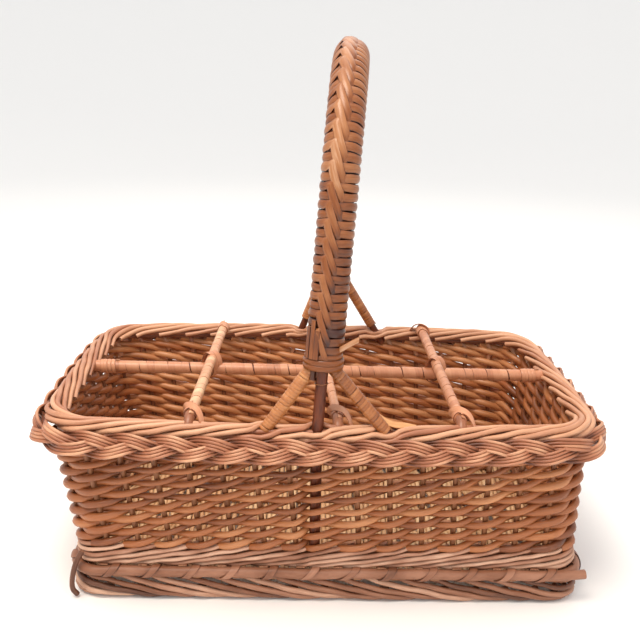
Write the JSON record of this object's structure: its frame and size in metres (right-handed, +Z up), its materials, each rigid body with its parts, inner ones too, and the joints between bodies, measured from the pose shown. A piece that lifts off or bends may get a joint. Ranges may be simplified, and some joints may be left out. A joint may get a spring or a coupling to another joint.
{
  "type": "wicker bottle carrier",
  "caption": "Low rectangular woven willow carrier with a rigid cane-wrapped bow handle and lashed rods across its mouth that divide it into compartments for bottles.",
  "frame": {"origin": "on the ground, under the middle of the basket", "axes": "+X along the basket to the right as seen from the front, +Y to the back, +Z up"},
  "size_m": [0.4608, 0.2858, 0.4335],
  "materials": {
    "willow": "steamed brown willow rods, satin",
    "stick": "thick peeled stick, stained brown, matt",
    "cane": "split cane, honey colour, slightly glossy outside"
  },
  "bodies": {
    "root": {"wall_weave": "willow", "bottom_wale": "willow", "border_roll": "willow", "border_plait": "willow", "foot_border": "willow", "foot_hoop": "willow", "base_weave": "willow", "front_stakes": "willow", "back_stakes": "willow", "left_stakes": "willow", "right_stakes": "willow", "corner_stakes": "willow", "base_sticks": "stick", "handle_core": "stick", "handle_left_rod": "stick", "handle_right_rod": "stick", "handle_outer_filler": "stick", "handle_inner_filler": "stick", "long_divider": "stick", "left_divider": "stick", "middle_divider": "stick", "right_divider": "stick", "handle_wrap": "cane", "handle_leader": "cane", "front_collar": "cane", "back_collar": "cane", "foot_ties": "cane", "long_divider_sleeve": "cane", "long_divider_left_whipping": "cane", "long_divider_right_whipping": "cane", "front_left_brace_wrap": "cane", "front_right_brace_wrap": "cane", "back_left_brace_wrap": "cane", "back_right_brace_wrap": "cane", "left_divider_sleeve": "cane", "middle_divider_sleeve": "cane", "right_divider_sleeve": "cane", "left_divider_front_whipping": "cane", "left_divider_back_whipping": "cane", "middle_divider_front_whipping": "cane", "middle_divider_back_whipping": "cane", "right_divider_front_whipping": "cane", "right_divider_back_whipping": "cane", "left_crossing_lashing": "cane", "middle_crossing_lashing": "cane", "right_crossing_lashing": "cane"}
  },
  "joints": []
}
